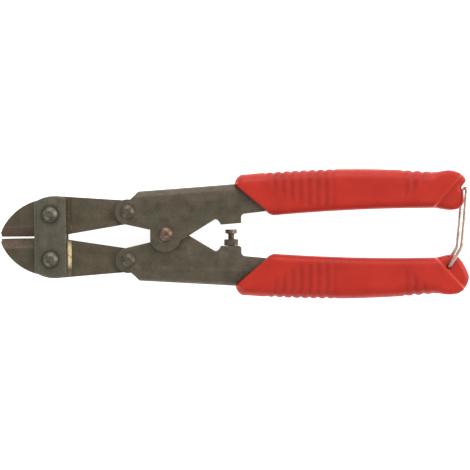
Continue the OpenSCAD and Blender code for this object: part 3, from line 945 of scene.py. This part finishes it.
def end_points(side):
    """Outline of the grip's end from its back to its inside: distances from the end, heights."""
    if side == "upper":
        shape = [(9.7, 27.85), (7.4, 27.7), (5.2, 27.1), (2.9, 25.9), (1.5, 24.6), (1.0, 23.4),
                 (1.5, 22.2), (3.0, 20.3), (3.15, 19.6), (2.3, 18.4), (2.05, 17), (2.0, 15),
                 (2.15, 13.4), (2.9, 11.9), (4.8, 10.6), (8.0, 10.15)]
    else:
        shape = [(9.7, 27.8), (7.4, 27.65), (5.2, 27.25), (2.8, 25.7), (1.1, 23.6), (0.25, 21.3),
                 (0.2, 19.3), (1.2, 16.6), (2.9, 13.4), (5.2, 10.7), (8.0, 9.95)]
    return [(GRIP_END - back, up) for back, up in shape]


def spline(points):
    """Points OUTLINE_GAP apart or so on a Catmull-Rom curve through points."""
    points = [np.array(p, float) for p in points]
    full = [2 * points[0] - points[1]] + points + [2 * points[-1] - points[-2]]
    made = []
    for a, b, c, d in zip(full, full[1:], full[2:], full[3:]):
        steps = max(1, round(np.linalg.norm(c - b) / OUTLINE_GAP))
        for i in range(steps):
            t = i / steps
            made.append(0.5 * (2 * b + (c - a) * t + (2 * a - 5 * b + 4 * c - d) * t * t
                               + (3 * b - a - 3 * c + d) * t ** 3))
    return made + [points[-1]]


def grip_outline(side):
    """The closed outline, and how far its edge is rounded at each of its points."""
    x = GRIP_FRONT
    nose = [(x, NOSE_Y), (x + 0.3, NOSE_Y + 1.5), (x + 1.2, NOSE_Y + 3.1)]
    nose.append((x + 2.8, back_line(x + 2.8)))
    back = [(x, back_line(x)) for x in np.linspace(GRIP_FRONT + 5, LOBE_X, 14)]
    lobe = [(LOBE_X, back_line(LOBE_X)), *end_points(side), (LOBE_X, inside_line(LOBE_X))]
    within = [(x, inside_line(x)) for x in np.linspace(LOBE_X, GRIP_FRONT + 19, 12)]
    heel = [(GRIP_FRONT + 17.3, GRIP_HEEL + 0.05), HEEL]
    stretches = {
        "back": spline(nose + back),
        "end": spline(lobe),
        "inside": spline(within + heel),
        "mouth": spline([HEEL, nose[0]]),
    }
    places, rounds = [], []
    for label, points in stretches.items():
        places += points[:-1]
        rounds += [ROUND[label]] * (len(points) - 1)
    rounds = np.array(rounds)
    # Lets the rounding pass smoothly from one stretch to the next
    for _ in range(4):
        rounds = (rounds + np.roll(rounds, 1) + np.roll(rounds, -1)) / 3
    return np.array(places), rounds


# -------- grip layout

# Points over the rounded edge stand where it has turned by these angles, in degrees
EDGE_ANGLES = (16, 34, 52, 70, 90)

# Rings round the hole and rows beside the crease: distances outwards, in millimetres
HOLE_RINGS = (0.12, 0.3, 0.5, 0.9)
CREASE_ROWS = (-0.7, -0.45, -0.2, 0.05, 0.3, 0.6)

# Start, end and gap of the points along a crease, and of the grid across the tool
CREASE_RUN = (-14, 18, 0.6)
GRID_ACROSS = (9, 29, 0.85)
GRID_GAP = 0.48

# Loose points of the face keep this clear of the outline and of the hole, and a point over the
# edge stays where no outline is nearer than REACH_CLEAR of its own reach
OUTLINE_CLEAR = 0.4
HOLE_CLEAR = 0.8
REACH_CLEAR = 0.96


def to_outline(points, outline, rounds):
    """Distance of each point to the outline, and the rounding at the nearest place on it."""
    a, b = outline, np.roll(outline, -1, 0)
    ab = b - a
    best = np.full(len(points), 1e9)
    at = np.zeros(len(points))
    for i in range(len(a)):
        t = np.clip(((points - a[i]) @ ab[i]) / (ab[i] @ ab[i]), 0, 1)
        d = np.linalg.norm(points - a[i] - t[:, None] * ab[i], axis=1)
        nearer = d < best
        best[nearer] = d[nearer]
        r = rounds[i] * (1 - t) + rounds[(i + 1) % len(a)] * t
        at[nearer] = r[nearer]
    return best, at


def inside(points, outline):
    """Which points lie inside the closed outline."""
    a, b = outline, np.roll(outline, -1, 0)
    crossings = np.zeros(len(points), int)
    for p, q in zip(a, b):
        spans = (p[1] > points[:, 1]) != (q[1] > points[:, 1])
        x = p[0] + (points[:, 1] - p[1]) * (q[0] - p[0]) / (q[1] - p[1] + 1e-12)
        crossings += spans & (points[:, 0] < x)
    return crossings % 2 == 1


def thin_out(groups, cell=1.0):
    """The points of each (points, gap) group that stand gap clear of all those kept before."""
    kept, cells = [], {}
    for points, gap in groups:
        for p in points:
            i, j = int(p[0] // cell), int(p[1] // cell)
            around = ((u, v) for u in (i - 1, i, i + 1) for v in (j - 1, j, j + 1))
            near = (q for place in around for q in cells.get(place, ()))
            if all((p[0] - q[0]) ** 2 + (p[1] - q[1]) ** 2 > gap * gap for q in near):
                kept.append(p)
                cells.setdefault((i, j), []).append(p)
    return kept


def hole_ring(out=0.0):
    """Points round the latch's hole, out millimetres from its edge."""
    reach = HOLE_R + out
    return [(HOLE[0] + reach * math.cos(t), HOLE[1] + reach * math.sin(t)) for t in turns(28)]


def from_hole(places):
    """Distance of each place to the middle of the latch's hole."""
    return np.hypot(places[:, 0] - HOLE[0], places[:, 1] - HOLE[1])


def edge_rings(outline, rounds):
    """Points over the rounded edge, left out where they come too near to another stretch."""
    ahead = np.roll(outline, -1, 0) - np.roll(outline, 1, 0)
    ahead /= np.linalg.norm(ahead, axis=1)[:, None]
    inward = np.stack([ahead[:, 1], -ahead[:, 0]], 1)
    made = []
    for angle in EDGE_ANGLES:
        reach = rounds * (1 - math.cos(math.radians(angle)))
        ring = outline + inward * reach[:, None]
        clear, _ = to_outline(ring, outline, rounds)
        made += list(ring[(clear > REACH_CLEAR * reach) & inside(ring, outline)])
    return made


def crease_rows(side):
    """Rows of points along the crease, where the face steps down."""
    (x, y), angle = CREASE[side]
    c, s = math.cos(math.radians(angle)), math.sin(math.radians(angle))
    return [(x + along * c + out * s, y + along * s - out * c)
            for out in CREASE_ROWS for along in np.arange(*CREASE_RUN)]


def face_grid():
    """A grid of points over the box of a grip."""
    xs = np.arange(GRIP_FRONT, GRIP_END, GRID_GAP)
    return [(x, y) for x in xs for y in np.arange(*GRID_ACROSS)]


def on_face(points, side, outline, rounds):
    """Those of the points that lie well inside the outline and outside the hole."""
    points = np.array(points)
    clear, _ = to_outline(points, outline, rounds)
    good = (clear > OUTLINE_CLEAR) & inside(points, outline)
    if side == "lower":
        good &= from_hole(points) > HOLE_R + HOLE_CLEAR
    return list(points[good])


def lay_out_grip(side):
    """Places and triangles of a grip's face seen from the front, with its outline first."""
    outline, rounds = grip_outline(side)
    hole = hole_ring() if side == "lower" else []
    hole_rings = [p for out in HOLE_RINGS for p in hole_ring(out)] if hole else []
    kept = thin_out([
        (list(outline), 0),
        (hole, 0),
        (hole_rings, 0.05),
        (edge_rings(outline, rounds), 0.14),
        (on_face(crease_rows(side), side, outline, rounds), 0.2),
        (on_face(face_grid(), side, outline, rounds), 0.36),
    ])
    count = len(outline)
    loops = [list(range(count))]
    if hole:
        loops.append(list(range(count, count + len(hole))))
    edges = [pair for loop in loops for pair in zip(loop, loop[1:] + loop[:1])]
    made = geometry.delaunay_2d_cdt([Vector(p) for p in kept], edges, [], 1, 1e-5)
    places = np.array([tuple(v) for v in made[0]])
    triangles = [tuple(face) for face in made[2]]
    if hole:
        middles = np.array([places[list(face)].mean(0) for face in triangles])
        triangles = [face for face, out in zip(triangles, from_hole(middles)) if out > HOLE_R]
    return places, triangles, outline, rounds, loops


# -------- grip surface

# Finger ribs: where a group's first groove lies, their pitch and how many they are
FRONT_RIBS = (GRIP_FRONT + 13.8, 3.83, 9)
REAR_RIBS = (GRIP_END - 28.9, 4.25, 4)

# How deep the grooves are on the face and in the edge, how narrow, and how far they fade out
FACE_DEPTH = 0.24
EDGE_DEPTH = 0.62
FACE_NARROW = 1.0
EDGE_NARROW = 2.2
RIB_FADE = 3.5

# Grooves cut the outer edge from this far out, and in full EDGE_OVER further out
EDGE_FROM = 18
EDGE_OVER = 4

# The crease: how wide its painted highlight line and its step are, and how clear of the edge the
# highlight stays
CREASE_WIDTH = 0.45
STEP_WIDTH = 1.1
CREASE_HIGHLIGHT_CLEAR = 0.3

HOLE_LIP = 0.5
# How much of the painted groove shade reaches the face
GROOVE_SHADE_ON_FACE = 0.6


def smooth_step(t):
    """0 up to 0, 1 from 1 on, with a soft S between."""
    t = np.clip(t, 0, 1)
    return t * t * (3 - 2 * t)


def past_crease(points, side):
    """How far each point lies beyond the crease, on the flattened end."""
    (x, y), angle = CREASE[side]
    a = math.radians(angle)
    return (points[:, 0] - x) * math.sin(a) - (points[:, 1] - y) * math.cos(a)


def groove(x, ribs, narrow):
    """Depth of a rib group's grooves at x, from 0 on a ridge to 1 in a groove."""
    first, pitch, count = ribs
    wave = (0.5 + 0.5 * np.cos(2 * math.pi * (x - first) / pitch)) ** narrow
    last = first + pitch * (count - 1)
    return wave * smooth_step((x - first) / pitch + 0.5) * smooth_step((last - x) / pitch + 0.5)


def rib_depth(points, narrow):
    """Groove depth over the face: each group fades out below a border."""
    x, y = points[:, 0], points[:, 1]
    front_border = 8.8 + 9.9 * np.exp(-(x - GRIP_FRONT - 18) / 11)
    rear_border = 14.2 + 0.9 * (x - GRIP_END + 28.3)
    front = groove(x, FRONT_RIBS, narrow) * smooth_step((y - front_border) / RIB_FADE)
    rear = groove(x, REAR_RIBS, narrow) * smooth_step((y - rear_border) / RIB_FADE)
    return front + rear


def quarter_round(lean):
    """How far a quarter round has dropped, in its radius, from 0 inside to 1 at its foot."""
    return 1 - np.sqrt(1 - lean ** 2)


def grip_surface(places, side, outline, rounds):
    """Front surface points over the laid-out places, and how much painted groove shade and painted
    crease highlight they get.
    """
    clear, r = to_outline(places, outline, rounds)
    past = past_crease(places, side)
    flat = GRIP_HALF - (GRIP_HALF - END_HALF) * smooth_step(past / STEP_WIDTH + 0.5)
    lean = np.clip(1 - clear / r, 0, 1)
    height = flat - r * quarter_round(lean)
    if side == "lower":
        lip = np.clip(1 - (from_hole(places) - HOLE_R) / HOLE_LIP, 0, 1)
        height -= HOLE_LIP * quarter_round(lip)
    tilt = lean * smooth_step((places[:, 1] - EDGE_FROM) / EDGE_OVER)
    face, edge = rib_depth(places, FACE_NARROW), rib_depth(places, EDGE_NARROW)
    height -= FACE_DEPTH * face * np.sqrt(1 - tilt ** 2)
    surface = np.column_stack([places[:, 0], places[:, 1] - EDGE_DEPTH * edge * tilt, height])
    # Painted shade in the grooves: on the face and in the edge notches
    groove_shade = face * (1 - tilt) * GROOVE_SHADE_ON_FACE + edge * tilt
    # Painted highlight along the crease
    crease_highlight = np.exp(-(past / CREASE_WIDTH) ** 2) * (clear > CREASE_HIGHLIGHT_CLEAR)
    return surface, groove_shade, crease_highlight


# -------- grip mesh

# The parting line is a groove this deep, and reaches this far to each side of the mid-plane. It
# starts where the edge is rounded by PARTING_FROM
PARTING_DEPTH = 0.12
PARTING_HALF = 0.22
PARTING_FROM = 1.2

# The mouth: its lowest and highest level, its ends across the tool, and how far it is sunk
MOUTH_LEVELS = (-1.5, 3.5)
MOUTH_ENDS = (10.7, 20.9)
MOUTH_SUNK = (14, 0.9, 0)
ON_EDGE = 0.05


def on_mouth(place):
    """Whether a place lies on the slanting front edge."""
    t = (place.x - GRIP_FRONT) / (HEEL[0] - GRIP_FRONT)
    return abs(place.y - (NOSE_Y + t * (HEEL[1] - NOSE_Y))) < ON_EDGE


def in_mouth(face):
    """Whether a wall face lies between the mouth's ends."""
    ys = [v.co.y for v in face.verts]
    between = MOUTH_ENDS[0] < min(ys) and max(ys) < MOUTH_ENDS[1]
    return between and all(on_mouth(v.co) for v in face.verts)


def wall_column(bm, layer, depth, before, here, after, rounding):
    """Points down the side wall below the face's point here, with the parting line sunk in."""
    x, y, top = here
    along = (after - before)[:2] / np.linalg.norm((after - before)[:2])
    parting = PARTING_DEPTH * min(1, max(0, rounding - PARTING_FROM))
    low, high = MOUTH_LEVELS
    made = []
    for z in (min(high, 0.6 * top), PARTING_HALF, 0, -PARTING_HALF, max(low, -0.6 * top)):
        sink = 0 if z else parting
        made.append(bm.verts.new((x + along[1] * sink, y - along[0] * sink, z)))
        made[-1][layer] = depth
    return made


def side_wall(bm, columns):
    """Joins columns of points round the outline, and gives the faces that may be mouth."""
    between = []
    for a, b in zip(columns, columns[1:] + columns[:1]):
        for k in range(len(a) - 1):
            face = bm.faces.new((a[k], a[k + 1], b[k + 1], b[k]))
            if 0 < k < len(a) - 2:
                between.append(face)
    return between


def build_grip(side):
    """A hollow-mouthed sleeve: two faces, a side wall with a parting line, and the mouth."""
    places, triangles, outline, rounds, loops = lay_out_grip(side)
    surface, grooves, creases = grip_surface(places, side, outline, rounds)
    bm = bmesh.new()
    groove_layer = bm.verts.layers.float.new("groove")
    crease_layer = bm.verts.layers.float.new("crease")
    front = [bm.verts.new(p) for p in surface]
    rear = [bm.verts.new((x, y, -z)) for x, y, z in surface]
    # Each point carries its painted groove shade and painted crease highlight
    for a, b, depth, wear_and_highlight in zip(front, rear, grooves, creases):
        a[groove_layer] = b[groove_layer] = depth
        a[crease_layer] = b[crease_layer] = wear_and_highlight
    for a, b, c in triangles:
        bm.faces.new((front[a], front[b], front[c]))
        bm.faces.new((rear[c], rear[b], rear[a]))
    rim = loops[0]
    columns = []
    for before, i, after in zip(rim[-1:] + rim[:-1], rim, rim[1:] + rim[:1]):
        # The wall carries the painted groove shade of the face above it
        column = wall_column(bm, groove_layer, grooves[i], surface[before], surface[i],
                             surface[after], rounds[i])
        columns.append([front[i], *column, rear[i]])
    mouth = [face for face in side_wall(bm, columns) if in_mouth(face)]
    for hole in loops[1:]:
        for i, j in zip(hole, hole[1:] + hole[:1]):
            bm.faces.new((front[i], rear[i], rear[j], front[j]))
    bmesh.ops.recalc_face_normals(bm, faces=bm.faces)
    sunk = bmesh.ops.extrude_face_region(bm, geom=mouth)
    moved = [g for g in sunk["geom"] if isinstance(g, bmesh.types.BMVert)]
    bmesh.ops.translate(bm, vec=MOUTH_SUNK, verts=moved)
    bmesh.ops.delete(bm, geom=[f for f in mouth if f.is_valid], context="FACES")
    return bm


def make_grips():
    red = pvc("red_pvc_skin")
    for side, turn in (("upper", 1), ("lower", -1)):
        bm = build_grip(side)
        for v in bm.verts:
            v.co = (v.co.x, v.co.y * turn, MID_Z + v.co.z * turn)
        node = side + "_grip"
        make_piece(node + "_sleeve", bm, side + "_handle_body", red, node,
                   sharp_angle=38)


# -------- floor and assembly

FLOOR_HALF = 1500
FLOOR_GLOW = 0.8
FLOOR_TONES = ((0.93, 0.93, 0.93, 1), (0.95, 0.95, 0.95, 1))


def floor_paper():
    """Matt white that glows a little, as a light table does."""
    s = Shader("pale_floor", metallic=0, specular=0.1)
    colour = s.patches(*FLOOR_TONES, size=60, start=0.35, full=0.65)
    roughness = s.spread(s.noise(8, detail=2), 0.3, 0.7, to_low=0.85, to_high=0.95)
    s.bsdf.inputs["Emission Color"].default_value = (1, 1, 1, 1)
    s.bsdf.inputs["Emission Strength"].default_value = FLOOR_GLOW
    return s.finish(colour, roughness, s.noise(3, detail=2), depth=0.01)


def make_floor():
    """The sheet that the tool lies on."""
    bm = bmesh.new()
    bmesh.ops.create_grid(bm, x_segments=1, y_segments=1, size=FLOOR_HALF)
    floor = mesh_object("floor", bm)
    floor.data.materials.append(floor_paper())


def dress(node, material):
    """Gives a carried-over CAD node its finish."""
    mesh = frame["nodes"][node].data
    mesh.materials.clear()
    mesh.materials.append(material)


make_camera()
for name, settings in LIGHTS.items():
    make_light(name, *settings)
make_surround()
make_floor()
make_steel()
make_rivets()
make_stop_screw()
make_lock_nut()
make_return_spring()
make_latch()
make_grips()
dress("stop_block", steel("block_steel", BLACKENED, 0.5, 0.45))
dress("pivot_sleeve", worn_metal("sleeve_metal", WASHER, 0.35, 0.85))
